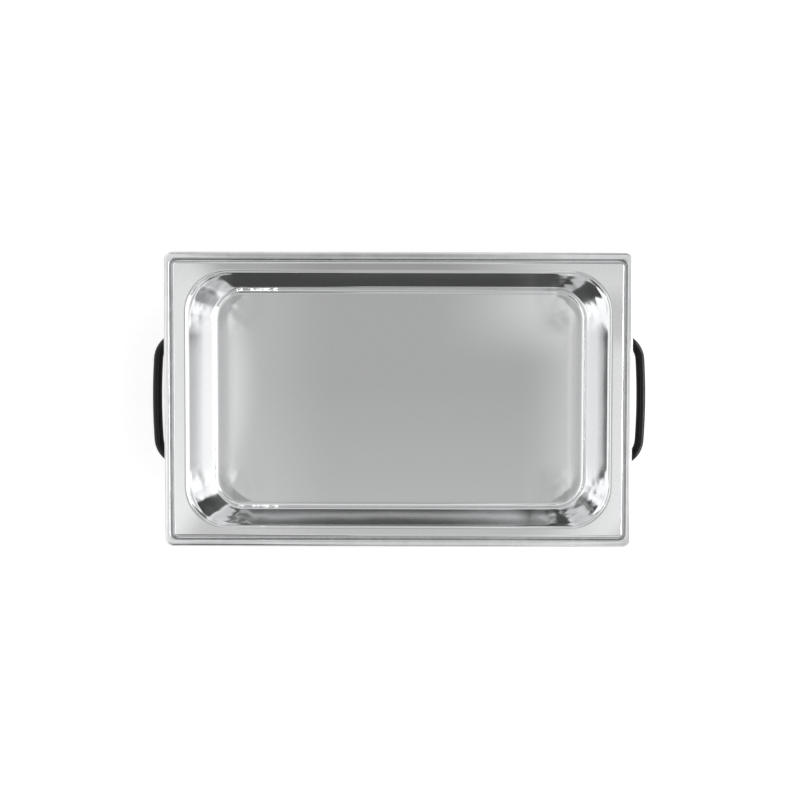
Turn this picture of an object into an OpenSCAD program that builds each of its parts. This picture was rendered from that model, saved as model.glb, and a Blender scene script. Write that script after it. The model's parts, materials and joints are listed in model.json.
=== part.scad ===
// Electric chafing dish with a lift-out food pan over a heated water pan
// Millimetres. z = 0 is the table, x runs along the dish, the controls face -y

/* [Food pan] */
// Length over the rim of the food pan
pan_l = 530; // [490:5:580]
// Width over the rim of the food pan
pan_w = 325; // [300:5:360]
// Depth of the food pan from rim to underside
pan_depth = 65; // [50:5:100]
// Flange width at the short ends
pan_flange_x = 17.5; // [13:0.5:18]
// Flange width along the long sides
pan_flange_y = 14; // [12.5:0.5:18]
// Corner radius of the pan opening
pan_corner_r = 47; // [40:1:60]
// Corner radius of the pan rim
pan_rim_r = 6; // [4:0.5:10]
// Height of the turned-down edge that the pan stands on
pan_edge_h = 4.5; // [4:0.5:6]
// Radius of the turned-down edge
pan_edge_r = 3.5; // [1.5:0.25:3.75]
// Radius of the lip between flange and wall
pan_lip_r = 3; // [2:0.5:4]
// Inside radius between wall and floor
pan_floor_r = 6; // [5:0.5:16]
// Slope of the pan wall in degrees
pan_draft = 8; // [1:0.5:10]
// Sheet thickness of the food pan
pan_t = 1; // [0.8:0.1:1.2]

/* [Water pan] */
// Gap between the pan rim and the curb round it
rim_gap = 2; // [1.5:0.5:4]
// Width of the curb at the short ends
curb_end = 7.5; // [6:0.5:12]
// Width of the curb along the long sides
curb_side = 9; // [6:0.5:12]
// Height of the curb over the ledge
curb_h = 6.5; // [5.5:0.5:9]
// Outer corner radius of the curb
curb_corner_r = 11; // [8:0.5:16]
// Radius of the curb's rolled outer edge
curb_roll_r = 4; // [2:0.5:4]
// Height of the skirt under the rolled edge
skirt_h = 9; // [6:0.5:14]
// Radius of the step between ledge and curb
step_r = 1.5; // [1.5:0.25:1.75]
// Gap between the lips of food pan and water pan
well_gap = 4.5; // [4:0.5:6]
// Depth of the water space under the food pan
water_h = 30; // [20:1:60]
// Inside radius between water pan wall and floor
well_floor_r = 18; // [10:1:24]
// Slope of the water pan wall in degrees
well_draft = 3; // [1:0.5:5]
// Radius of the water pan lip
well_lip_r = 3; // [2:0.5:4]
// Sheet thickness of the water pan
well_t = 1; // [0.8:0.1:1.2]

/* [Housing] */
// Gap between water pan wall and housing wall
housing_gap = 5; // [4:0.5:12]
// Radius of the upright housing edges
housing_corner_r = 24; // [18:1:40]
// Sheet thickness of the housing
housing_t = 1; // [0.8:0.1:1.5]
// Width of the inward flange at the bottom
housing_flange = 13; // [12:0.5:16]
// Clear height of the bay under the water pan
bay_h = 48; // [46:1:70]
// Sheet thickness of the base plate
base_t = 1; // [0.8:0.1:1.5]
// Number of vent slots in each group
vent_count = 7; // [3:1:9]
// Length of a vent slot
vent_l = 60; // [30:5:80]
// Width of a vent slot
vent_w = 3.5; // [2:0.5:3.5]
// Distance between neighbouring vent slots
vent_pitch = 14; // [8:1:16]
// Distance of a vent group from the middle
vent_x = 120; // [90:5:140]

/* [Handles] */
// Diameter of the handle bar
handle_d = 10.5; // [8:0.5:12]
// Distance between the legs of a handle
handle_span = 156; // [120:2:200]
// Distance from the housing wall to the middle of the grip
handle_reach = 40; // [38:1:60]
// Centre radius of the handle corners
handle_bend_r = 30; // [20:1:34]
// Radius of the grip's bow
handle_bow_r = 780; // [500:10:1200]
// Depth of the handle axis below the curb
handle_drop = 36; // [30:0.5:60]
// Diameter of the collar on a handle leg
collar_d = 20; // [16:1:26]
// Thickness of the collar
collar_t = 4; // [2:0.5:6]

/* [Feet] */
// Height of a foot under the base plate
foot_h = 16; // [12:1:30]
// Diameter at the top of a foot
foot_d = 32; // [26:1:40]
// Narrowing of the foot radius toward the table
foot_taper = 3; // [0:0.5:5]
// Distance from the housing wall to the foot axis
foot_inset = 42; // [34:1:60]
// Rubber thickness over the screw head
foot_seat = 5; // [3:0.5:7]

/* [Heater] */
// Length of the heat spreader plate
spreader_l = 360; // [320:5:400]
// Width of the heat spreader plate
spreader_w = 200; // [190:5:220]
// Thickness of the heat spreader plate
spreader_t = 4; // [3:0.5:6]
// Diameter of the tubular element
element_d = 6.5; // [6.5:0.5:8.5]
// Distance between neighbouring element legs
element_pitch = 56; // [50:1:58]
// Straight length of the element legs
element_leg = 260; // [220:5:270]
// Width of a clamp bar
bar_w = 14; // [12:1:20]
// Thickness of a clamp bar
bar_t = 2; // [1.5:0.5:3]
// Distance between the two clamp bars
bar_pitch = 140; // [120:2:180]
// Length of the thermostat bulb
bulb_l = 90; // [70:5:100]

/* [Controls] */
// Distance from the right end of the housing to the thermostat knob
knob_end = 69; // [62:0.5:91]
// Distance from the right end of the housing to the pilot lamp
lamp_end = 119; // [117:0.5:131]
// Distance from the right end of the housing to the switch
switch_end = 161; // [157:0.5:201]
// Diameter of the knob skirt
knob_d = 44; // [40:1:50]
// Length of the knob
knob_h = 22; // [18:1:28]
// Gap between knob and front wall
knob_gap = 3; // [3:0.5:5]
// Width of the knob's grip
grip_w = 11; // [9:0.5:16]
// Turn of the knob's pointer from upright at its off position
knob_rest = 135; // [0:15:150]
// Diameter of the thermostat shaft
shaft_d = 6; // [5:0.5:8]
// Side length of the thermostat box
thermostat_s = 36; // [32:1:40]
// Depth of the thermostat box
thermostat_depth = 25; // [20:1:30]
// Half swing of the rocker in degrees
rocker_swing = 10; // [6:1:12]
// Length of the rocker
rocker_l = 24; // [20:1:26]
// Width of the rocker
rocker_w = 17; // [14:0.5:20]
// Diameter of the lamp barrel
lamp_d = 9.8; // [8:0.2:12]

/* [Cable entry] */
// Distance from the right end of the housing to the cable gland
gland_end = 69; // [62:0.5:111]
// Diameter of the cord hole in the gland cap
cord_d = 8; // [6:0.5:9]
// Diameter of the gland thread
gland_d = 15.8; // [14:0.2:20]

/* [Clearances] */
// Gap of a loose part in its place
loose_fit = 0.3; // [0.2:0.1:0.5]
// Radial gap of a turning shaft in its hole
turn_fit = 0.06; // [0.03:0.01:0.1]
// Radial gap of a screw or stud in a threaded hole
thread_fit = 0.05; // [0.02:0.01:0.1]
// Gap between clamped parts of the heater
clamp_fit = 0.1; // [0.05:0.05:0.2]

/* [Hidden] */
$fn = 48;
bend_steps = 8;
wire_sides = 8;
handle_sides = 24;
grip_steps = 8;

pan_open_l = pan_l - 2 * pan_flange_x;
pan_open_w = pan_w - 2 * pan_flange_y;
well_l = pan_open_l + 2 * well_gap;
well_w = pan_open_w + 2 * well_gap;
well_corner_r = pan_corner_r + well_gap;
recess_l = pan_l + 2 * rim_gap;
recess_w = pan_w + 2 * rim_gap;
recess_r = pan_rim_r + rim_gap;
rim_l = recess_l + 2 * curb_end;
rim_w = recess_w + 2 * curb_side;
housing_l = well_l + 2 * (well_t + housing_gap + housing_t);
housing_w = well_w + 2 * (well_t + housing_gap + housing_t);

base_z = foot_h;
bay_z = base_z + base_t;
well_under_z = bay_z + bay_h;
well_z = well_under_z + well_t;
pan_under_z = well_z + water_h;
flange_z = pan_under_z + pan_depth;
ledge_z = flange_z - pan_edge_h;
curb_z = ledge_z + curb_h;
housing_z = ledge_z - well_t;
well_depth = ledge_z - well_under_z;
control_z = bay_z + bay_h / 2;
front_y = -housing_w / 2;
back_y = housing_w / 2;
knob_x = housing_l / 2 - knob_end;
lamp_x = housing_l / 2 - lamp_end;
switch_x = housing_l / 2 - switch_end;
gland_x = housing_l / 2 - gland_end;

// Screw sizes: shank, head diameter and head height
m5 = 5;
m5_head = 9;
m5_head_h = 2.8;
m5_nut = 9.2;
m5_nut_h = 4;
m4 = 4;
m4_head = 7;
m4_head_h = 2;
m3 = 3;
m3_head = 5.5;
m3_head_h = 2;
tapper = 3.5;
tapper_head = 7;
tapper_head_h = 2.2;
tapper_l = 4;

handle_z = curb_z - handle_drop;
handle_screw_l = 15;
grip_x = housing_l / 2 + handle_reach;
bow_angle = asin((handle_span / 2 - handle_bend_r) / (handle_bow_r - handle_bend_r));
bend_x = grip_x - handle_bow_r + (handle_bow_r - handle_bend_r) * cos(bow_angle);

foot_x = housing_l / 2 - foot_inset;
foot_y = housing_w / 2 - foot_inset;

spreader_z = well_under_z - spreader_t;
element_z = spreader_z - clamp_fit - element_d / 2;
bar_top_z = element_z - element_d / 2 - clamp_fit;
bar_z = bar_top_z - bar_t;
stud_x = bar_pitch / 2;
stud_y = element_pitch;
stud_end_z = bar_z - m5_nut_h - 2;
bulb_d = element_d - 2 * clamp_fit;
bulb_x = element_leg / 2 - 15 - bulb_l;
tail_l = 30;
pin_l = 14;

base_screw_edge = housing_t + housing_flange / 2;
base_screw_in = 41;
base_screw_x = housing_l / 2 - base_screw_in;
base_screw_y = housing_w / 4;

gland_l = 25;
gland_in = 12;
gland_hex_h = 5;
gland_seat = 17;
seal_h = 4;

block_pole = 12;
block_l = 3 * block_pole;
block_w = 22;
block_h = 16;
block_x = gland_x - 50;
block_y = back_y - 62;
earth_x = gland_x + 18;
earth_y = back_y - 70;
earth_nut_h = 3.2;

tab_w = 6.3;
tab_t = 0.8;
tab_l = 8;
lead_fit = 0.2;
shaft_in = 12;
shaft_grip = 12;
rocker_pivot = 3;
rocker_face = 5.5;
rocker_pin_d = 3;
switch_cavity_l = rocker_l + 3.2;
switch_cavity_w = rocker_w + 2 * loose_fit;
switch_box_l = switch_cavity_l + 2.8;
switch_box_w = switch_cavity_w + 4;
switch_depth = 24;

cutout_x = 0;
cutout_plate_l = 36;
cutout_can_d = 16;
cutout_can_h = 9;
cutout_plate_t = 1;
cutout_tab_y = 4.5;
cutout_end_z = spreader_z - cutout_plate_t - cutout_can_h - tab_l;

lamp_depth = 20;
lamp_tab_x = 2;
lamp_tab_w = 4.8;
lamp_end_y = front_y + lamp_depth + tab_l - 1;

switch_tab_x = 5;
switch_tab_z = 7;
switch_end_y = front_y + switch_depth + tab_l;
thermostat_tab_x = 8;
thermostat_tab_z = 6;
thermostat_back_y = front_y + housing_t + thermostat_depth;
thermostat_end_y = thermostat_back_y + tab_l;

// Points of an arc about centre c
function arc(c, r, a0, a1) = [
    for (i = [0 : bend_steps])
        let (a = a0 + (a1 - a0) * i / bend_steps)
            [c[0] + r * cos(a), c[1] + r * sin(a)]
];

// Inward distance from the lip line to the start of the flat floor
function floor_in(lip_r, floor_r, t, depth, draft) =
    let (lip_x = lip_r * (1 - cos(draft)))
    let (drop = depth - t - lip_r - floor_r + (lip_r + floor_r) * sin(draft))
        round(100 * (drop * tan(draft) + floor_r * cos(draft) - lip_x)) / 100;

// Section of a drawn wall: lip, sloping wall and floor bend in one sheet
function drawn_section(lip_r, floor_r, t, depth, draft) =
    let (lip_c = [lip_r, -lip_r])
    let (floor_c = [-floor_in(lip_r, floor_r, t, depth, draft), t - depth + floor_r])
        concat(
            arc(lip_c, lip_r, 90, 180 - draft),
            arc(floor_c, floor_r, -draft, -90),
            arc(floor_c, floor_r + t, -90, -draft),
            arc(lip_c, lip_r - t, 180 - draft, 90));

// Section of an edge that turns from a flat sheet down to height h
function edge_section(r, t, h) = concat(
    arc([-r, -r], r, 90, 0),
    [[0, -h], [-t, -h]],
    arc([-r, -r], r - t, 0, 90));

// Section of the step from the ledge up to the curb
function step_section(r, t, h) = concat(
    arc([-r, r], r, -90, 0),
    arc([r, h - r], r, 180, 90),
    arc([r, h - r], r - t, 90, 180),
    arc([-r, r], r + t, 0, -90));

module rounded_rect(l, w, r) {
    square([l - 2 * r, w], center = true);
    square([l, w - 2 * r], center = true);
    for (sx = [-1, 1], sy = [-1, 1])
        translate([sx * (l / 2 - r), sy * (w / 2 - r)])
            circle(r);
}

// Sweeps a section round a rounded rectangle, +x of the section points out
module swept(l, w, r) {
    for (a = [0, 180])
        rotate([0, 0, a]) {
            translate([l / 2, 0, 0])
                rotate([90, 0, 0])
                    linear_extrude(w - 2 * r, center = true)
                        children();
            translate([l / 2 - r, w / 2 - r, 0])
                rotate_extrude(angle = 90)
                    translate([r, 0])
                        children();
            rotate([0, 0, 90])
                translate([w / 2, 0, 0])
                    rotate([90, 0, 0])
                        linear_extrude(l - 2 * r, center = true)
                            children();
            translate([r - l / 2, w / 2 - r, 0])
                rotate([0, 0, 90])
                    rotate_extrude(angle = 90)
                        translate([r, 0])
                            children();
        }
}

// Drawn tub with its lip line at z = 0
module drawn_tub(l, w, r, lip_r, floor_r, t, depth, draft) {
    inset = floor_in(lip_r, floor_r, t, depth, draft);
    swept(l, w, r)
        polygon(drawn_section(lip_r, floor_r, t, depth, draft));
    translate([0, 0, -depth])
        linear_extrude(t)
            rounded_rect(l - 2 * inset, w - 2 * inset, r - inset);
}

module hex_nut(across, h, bore) {
    difference() {
        cylinder(d = across, h = h, $fn = 6);
        translate([0, 0, -1])
            cylinder(d = bore, h = h + 2);
    }
}

// Smooth curve from the first to the last of the points p, drawn toward those between
function curve(p, n) =
    let (m = len(p) - 1)
    let (q = concat([2 * p[0] - p[1]], p, [2 * p[m] - p[m - 1]]))
        concat([
            for (i = [0 : m - 1], k = [0 : n - 1])
                let (t = k / n)
                let (u = 1 - t)
                    (u * u * u * q[i] + (3 * t * t * t - 6 * t * t + 4) * q[i + 1]
                        + (3 * u * u * u - 6 * u * u + 4) * q[i + 2] + t * t * t * q[i + 3]) / 6
        ], [p[m]]);

// Route of a lead from a to b by way of the points mid, leaving a toward go and b toward back
function route(a, go, mid, back, b) = curve(concat(
    [a, a + 4 * go, a + 8 * go], mid, [b + 8 * back, b + 4 * back, b]), 4);

// Direction from a to b, of length 1
function toward(a, b) = (b - a) / norm(b - a);

// Round bar of s sides along the points p, with its facets set square to the vector up
module bar(p, d, s, up) {
    n = len(p);
    rings = [
        for (i = [0 : n - 1])
            let (go = toward(p[max(i - 1, 0)], p[max(i, 1)]) + toward(p[min(i, n - 2)], p[min(i + 1, n - 1)]))
            let (side = cross(go, up) / norm(cross(go, up)))
            let (rise = cross(side, go) / norm(go))
            for (k = [0 : s - 1])
                p[i] + d / 2 * (cos(360 * k / s) * side + sin(360 * k / s) * rise)
    ];
    skin = [
        for (i = [0 : n - 2], k = [0 : s - 1])
            let (m = (k + 1) % s)
                [i * s + k, i * s + m, (i + 1) * s + m, (i + 1) * s + k]
    ];
    polyhedron(rings, concat(
        skin,
        [[for (k = [s - 1 : -1 : 0]) k]],
        [[for (k = [0 : s - 1]) (n - 1) * s + k]]), convexity = 6);
}

// Insulated wire along the points p
module wire(p, d) {
    bar(p, d, wire_sides, [0.31, 0.17, 0.93]);
}

// Stands the children on the front wall, z pointing out to the front
module on_front(x) {
    translate([x, front_y, control_z])
        rotate([90, 0, 0])
            children();
}

// Stands the children on the back wall, z pointing out to the back
module on_back(x) {
    translate([x, back_y, control_z])
        rotate([-90, 0, 0])
            children();
}

module food_pan() {
    color("gainsboro")
        translate([0, 0, flange_z]) {
            drawn_tub(pan_open_l, pan_open_w, pan_corner_r, pan_lip_r, pan_floor_r,
                pan_t, pan_depth, pan_draft);
            translate([0, 0, -pan_t])
                linear_extrude(pan_t)
                    difference() {
                        rounded_rect(pan_l - 2 * pan_edge_r, pan_w - 2 * pan_edge_r,
                            pan_rim_r - pan_edge_r);
                        rounded_rect(pan_open_l + 2 * pan_lip_r, pan_open_w + 2 * pan_lip_r,
                            pan_corner_r + pan_lip_r);
                    }
            swept(pan_l, pan_w, pan_rim_r)
                polygon(edge_section(pan_edge_r, pan_t, pan_edge_h));
        }
}

module water_pan() {
    color("silver") {
        translate([0, 0, ledge_z]) {
            drawn_tub(well_l, well_w, well_corner_r, well_lip_r, well_floor_r,
                well_t, well_depth, well_draft);
            translate([0, 0, -well_t])
                linear_extrude(well_t)
                    difference() {
                        rounded_rect(recess_l - 2 * step_r, recess_w - 2 * step_r,
                            recess_r - step_r);
                        rounded_rect(well_l + 2 * well_lip_r, well_w + 2 * well_lip_r,
                            well_corner_r + well_lip_r);
                    }
            swept(recess_l, recess_w, recess_r)
                polygon(step_section(step_r, well_t, curb_h));
        }
        translate([0, 0, curb_z - well_t])
            linear_extrude(well_t)
                difference() {
                    rounded_rect(rim_l - 2 * curb_roll_r, rim_w - 2 * curb_roll_r,
                        curb_corner_r - curb_roll_r);
                    rounded_rect(recess_l + 2 * step_r, recess_w + 2 * step_r,
                        recess_r + step_r);
                }
        translate([0, 0, curb_z])
            swept(rim_l, rim_w, curb_corner_r)
                polygon(edge_section(curb_roll_r, well_t, skirt_h));
    }
}

module housing() {
    top_gap = well_lip_r + loose_fit;
    color("lightgray")
        difference() {
            translate([0, 0, bay_z])
                linear_extrude(housing_z - bay_z)
                    rounded_rect(housing_l, housing_w, housing_corner_r);
            translate([0, 0, bay_z + housing_t])
                linear_extrude(housing_z - bay_z - 2 * housing_t)
                    rounded_rect(housing_l - 2 * housing_t, housing_w - 2 * housing_t,
                        housing_corner_r - housing_t);
            translate([0, 0, housing_z - 3 * housing_t])
                linear_extrude(5 * housing_t)
                    rounded_rect(well_l + 2 * top_gap, well_w + 2 * top_gap,
                        well_corner_r + top_gap);
            translate([0, 0, bay_z - housing_t])
                linear_extrude(4 * housing_t)
                    rounded_rect(housing_l - 2 * housing_flange, housing_w - 2 * housing_flange,
                        housing_corner_r - housing_flange);
            // Holes for the base screws in the bottom flange
            base_screw_places()
                translate([0, 0, -1])
                    cylinder(d = tapper + 2 * thread_fit, h = housing_t + 2);
            // Holes for the handle screws
            for (sx = [-1, 1], sy = [-1, 1])
                translate([sx * housing_l / 2, sy * handle_span / 2, handle_z])
                    rotate([0, 90, 0])
                        cylinder(d = m5 + 2 * loose_fit, h = 4 * housing_t, center = true);
            // Front wall: thermostat neck and screws, lamp barrel, switch box
            on_front(knob_x) {
                cylinder(d = shaft_d + 4 + 2 * loose_fit, h = 4 * housing_t, center = true);
                for (s = [-1, 1])
                    translate([0, s * thermostat_s * 0.38, 0])
                        cylinder(d = m4 + 2 * loose_fit, h = 4 * housing_t, center = true);
            }
            on_front(lamp_x)
                cylinder(d = lamp_d + 2 * loose_fit, h = 4 * housing_t, center = true);
            on_front(switch_x)
                cube([switch_box_w + 2 * loose_fit, switch_box_l + 2 * loose_fit, 4 * housing_t],
                    center = true);
            // Back wall: cable gland
            on_back(gland_x)
                cylinder(d = gland_d + 2 * loose_fit, h = 4 * housing_t, center = true);
        }
}

// Places of the base screws, at the top of the base plate
module base_screw_places() {
    for (s = [-1, 1]) {
        for (i = [-1, -1 / 3, 1 / 3, 1])
            translate([i * base_screw_x, s * (housing_w / 2 - base_screw_edge), bay_z])
                children();
        for (y = [-base_screw_y, base_screw_y])
            translate([s * (housing_l / 2 - base_screw_edge), y, bay_z])
                children();
    }
}

// Places of the feet on the table
module foot_places() {
    for (sx = [-1, 1], sy = [-1, 1])
        translate([sx * foot_x, sy * foot_y, 0])
            children();
}

module base_plate() {
    edge = loose_fit;
    color("darkgray")
        difference() {
            translate([0, 0, base_z])
                linear_extrude(base_t)
                    difference() {
                        rounded_rect(housing_l - 2 * edge, housing_w - 2 * edge,
                            housing_corner_r - edge);
                        for (sx = [-1, 1], i = [0 : vent_count - 1])
                            translate([sx * vent_x, (i - (vent_count - 1) / 2) * vent_pitch]) {
                                square([vent_l - vent_w, vent_w], center = true);
                                for (e = [-1, 1])
                                    translate([e * (vent_l - vent_w) / 2, 0])
                                        circle(d = vent_w);
                            }
                    }
            base_screw_places()
                translate([0, 0, -base_t - 1])
                    cylinder(d = tapper + 2 * loose_fit, h = base_t + 2);
            foot_places()
                translate([0, 0, base_z - 1])
                    cylinder(d = m5 + 2 * loose_fit, h = base_t + 2);
            translate([block_x, block_y, base_z - 1])
                cylinder(d = m3 + 2 * thread_fit, h = base_t + 2);
        }
}

module base_screws() {
    color("silver")
        base_screw_places()
            translate([0, 0, -base_t]) {
                translate([0, 0, -tapper_head_h])
                    cylinder(d = tapper_head, h = tapper_head_h);
                cylinder(d = tapper, h = base_t + housing_t + tapper_l);
            }
}

module foot(sx, sy) {
    color("#202020")
        translate([sx * foot_x, sy * foot_y, 0])
            difference() {
                cylinder(r1 = foot_d / 2 - foot_taper, r2 = foot_d / 2, h = foot_h);
                translate([0, 0, -1])
                    cylinder(d = m5_head + 2, h = foot_h - foot_seat + 1);
                cylinder(d = m5 + 2 * loose_fit, h = foot_h + 1);
            }
}

module foot_screws() {
    color("silver")
        foot_places()
            translate([0, 0, foot_h - foot_seat]) {
                translate([0, 0, -m5_head_h])
                    cylinder(d = m5_head, h = m5_head_h);
                cylinder(d = m5, h = foot_seat + base_t + m5_nut_h + 2);
            }
}

module foot_nuts() {
    color("silver")
        foot_places()
            translate([0, 0, bay_z])
                hex_nut(m5_nut, m5_nut_h, m5 + 2 * thread_fit);
}

// Centre line of the right handle: leg, corner, bowed grip, corner, leg
handle_path = concat(
    [[housing_l / 2, -handle_span / 2]],
    arc([bend_x, handle_bend_r - handle_span / 2], handle_bend_r, -90, -bow_angle),
    [for (i = [1 : grip_steps - 1])
        let (a = bow_angle * (2 * i / grip_steps - 1))
            [grip_x - handle_bow_r * (1 - cos(a)), handle_bow_r * sin(a)]],
    arc([bend_x, handle_span / 2 - handle_bend_r], handle_bend_r, bow_angle, 90),
    [[housing_l / 2, handle_span / 2]]);

module handle() {
    color("#101010")
        translate([0, 0, handle_z])
            difference() {
                bar([for (q = handle_path) [q[0], q[1], 0]], handle_d, handle_sides, [0, 0, 1]);
                for (s = [-1, 1])
                    translate([housing_l / 2 - 1, s * handle_span / 2, 0])
                        rotate([0, 90, 0])
                            cylinder(d = m5 + 2 * thread_fit, h = handle_screw_l + 2);
            }
}

module handle_left() {
    mirror([1, 0, 0])
        handle();
}

module handle_right() {
    handle();
}

module handle_collars() {
    color("#181818")
        for (sx = [-1, 1], sy = [-1, 1])
            translate([sx * (housing_l / 2 + collar_t / 2), sy * handle_span / 2, handle_z])
                rotate([0, 90, 0])
                    difference() {
                        cylinder(d = collar_d, h = collar_t, center = true);
                        cylinder(d = handle_d + loose_fit, h = collar_t + 2, center = true);
                    }
}

module handle_screws() {
    color("silver")
        for (sx = [0, 1], sy = [-1, 1])
            mirror([sx, 0, 0])
                translate([housing_l / 2 - housing_t, sy * handle_span / 2, handle_z])
                    rotate([0, 90, 0]) {
                        translate([0, 0, -m5_head_h])
                            cylinder(d = m5_head, h = m5_head_h);
                        cylinder(d = m5, h = housing_t + handle_screw_l);
                    }
}

// Places of the heater studs, at the underside of the water pan
module stud_places() {
    for (sx = [-1, 1], sy = [-1, 1])
        translate([sx * stud_x, sy * stud_y, 0])
            children();
}

module heat_spreader() {
    color("#d6d8da")
        difference() {
            translate([0, 0, spreader_z])
                linear_extrude(spreader_t)
                    rounded_rect(spreader_l, spreader_w, 10);
            stud_places()
                translate([0, 0, spreader_z - 1])
                    cylinder(d = m5 + 2 * loose_fit, h = spreader_t + 2);
            for (s = [-1, 1])
                translate([cutout_x + s * cutout_plate_l * 0.37, 0, spreader_z - 1])
                    cylinder(d = m3 + 2 * thread_fit, h = spreader_t - 1 + 1);
        }
}

module heating_element() {
    r = element_pitch / 2;
    half = element_leg / 2;
    color("#6a5f52")
        translate([0, 0, element_z]) {
            for (y = [-3 * r, -r, r, 3 * r])
                translate([-half, y, 0])
                    rotate([0, 90, 0])
                        cylinder(d = element_d, h = element_leg);
            for (y = [-2 * r, 2 * r])
                translate([-half, y, 0])
                    rotate([0, 0, 90])
                        rotate_extrude(angle = 180)
                            translate([r, 0])
                                circle(d = element_d);
            translate([half, 0, 0])
                rotate([0, 0, -90])
                    rotate_extrude(angle = 180)
                        translate([r, 0])
                            circle(d = element_d);
            for (y = [-3 * r, 3 * r])
                translate([half, y, 0])
                    rotate([0, 90, 0]) {
                        cylinder(d = element_d, h = tail_l);
                        cylinder(d = element_d / 2, h = tail_l + pin_l);
                    }
        }
}

module clamp_bars() {
    color("silver")
        difference() {
            for (sx = [-1, 1])
                translate([sx * stud_x, 0, bar_z + bar_t / 2])
                    cube([bar_w, 3 * element_pitch + element_d + 12, bar_t], center = true);
            stud_places()
                translate([0, 0, bar_z - 1])
                    cylinder(d = m5 + 2 * loose_fit, h = bar_t + 2);
        }
}

module heater_studs() {
    color("silver")
        stud_places()
            translate([0, 0, stud_end_z])
                cylinder(d = m5, h = well_under_z - stud_end_z);
}

module heater_nuts() {
    color("silver")
        stud_places()
            translate([0, 0, bar_z - m5_nut_h])
                hex_nut(m5_nut, m5_nut_h, m5 + 2 * thread_fit);
}

module thermal_cutout() {
    color("#3a3a3a")
        translate([cutout_x, 0, spreader_z]) {
            difference() {
                translate([0, 0, -cutout_plate_t / 2])
                    cube([cutout_plate_l, cutout_can_d, cutout_plate_t], center = true);
                for (s = [-1, 1])
                    translate([s * cutout_plate_l * 0.37, 0, -cutout_plate_t - 1])
                        cylinder(d = m3 + 2 * loose_fit, h = cutout_plate_t + 2);
            }
            translate([0, 0, -cutout_plate_t - cutout_can_h])
                cylinder(d = cutout_can_d, h = cutout_can_h);
            for (s = [-1, 1])
                translate([0, s * cutout_tab_y, -cutout_plate_t - cutout_can_h - tab_l / 2])
                    cube([tab_w, tab_t, tab_l], center = true);
        }
}

module cutout_screws() {
    color("silver")
        for (s = [-1, 1])
            translate([cutout_x + s * cutout_plate_l * 0.37, 0, spreader_z - cutout_plate_t]) {
                translate([0, 0, -m3_head_h])
                    cylinder(d = m3_head, h = m3_head_h);
                cylinder(d = m3, h = cutout_plate_t + spreader_t - 2);
            }
}

module thermostat_body() {
    color("#c8c4b8")
        on_front(knob_x)
            difference() {
                union() {
                    translate([0, 0, -housing_t - thermostat_depth / 2])
                        cube([thermostat_s, thermostat_s, thermostat_depth], center = true);
                    translate([0, 0, -housing_t - 1])
                        cylinder(d = shaft_d + 4, h = housing_t + 1.5);
                    for (s = [-1, 1], i = [-1, 1])
                        translate([s * thermostat_tab_x, i * thermostat_tab_z,
                                -housing_t - thermostat_depth - tab_l / 2])
                            cube([tab_w, tab_t, tab_l], center = true);
                }
                translate([0, 0, -housing_t - shaft_in])
                    cylinder(d = shaft_d + 2 * turn_fit, h = shaft_in + housing_t + 2);
                for (s = [-1, 1])
                    translate([0, s * thermostat_s * 0.38, -housing_t - 7])
                        cylinder(d = m4 + 2 * thread_fit, h = 8);
            }
}

module thermostat_screws() {
    color("silver")
        on_front(knob_x)
            for (s = [-1, 1])
                translate([0, s * thermostat_s * 0.38, 0]) {
                    cylinder(d = m4_head, h = m4_head_h);
                    translate([0, 0, -housing_t - 6])
                        cylinder(d = m4, h = housing_t + 6);
                }
}

// Shaft outline in its grip length: a round bar with one flat side
module d_bar(d, h) {
    difference() {
        cylinder(d = d, h = h);
        translate([-d, d * 0.3, -1])
            cube([2 * d, d, h + 2]);
    }
}

module thermostat_shaft() {
    start = loose_fit - housing_t - shaft_in;
    color("silver")
        on_front(knob_x)
            rotate([0, 0, knob_rest]) {
                translate([0, 0, start])
                    cylinder(d = shaft_d, h = knob_gap - start);
                translate([0, 0, knob_gap])
                    d_bar(shaft_d, shaft_grip);
            }
}

module thermostat_knob() {
    r = knob_d / 2;
    pointer_l = 9;
    color("#141414")
        on_front(knob_x)
            translate([0, 0, knob_gap])
                rotate([0, 0, knob_rest])
                    difference() {
                        union() {
                            cylinder(r = r, h = 2);
                            translate([0, 0, 2])
                                cylinder(r1 = r, r2 = r - 2, h = 3);
                            intersection() {
                                translate([0, 0, 4])
                                    cylinder(r1 = r - 4, r2 = r - 5, h = knob_h - 4);
                                translate([-grip_w / 2, -r, 3])
                                    cube([grip_w, 2 * r, knob_h]);
                            }
                        }
                        translate([0, 0, -1])
                            d_bar(shaft_d + 2 * thread_fit, shaft_grip + 1 + loose_fit);
                        // Groove of the pointer line
                        translate([-0.7, r - 6 - pointer_l, knob_h - 0.6])
                            cube([1.4, pointer_l, 1]);
                    }
}

module thermostat_bulb() {
    capillary = route(
        [bulb_x + bulb_l - 2, 0, element_z], [1, 0, 0], [
            [bulb_x + bulb_l + 14, -6, bar_z - 4],
            [bulb_x + bulb_l + 34, -40, bar_z - 8],
            [knob_x - 12, -96, control_z + 3]],
        [0, 1, 0], [knob_x, thermostat_back_y + lead_fit, control_z]);
    color("#b87333") {
        translate([bulb_x, 0, element_z])
            rotate([0, 90, 0])
                cylinder(d = bulb_d, h = bulb_l);
        wire(capillary, 2);
    }
}

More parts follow.
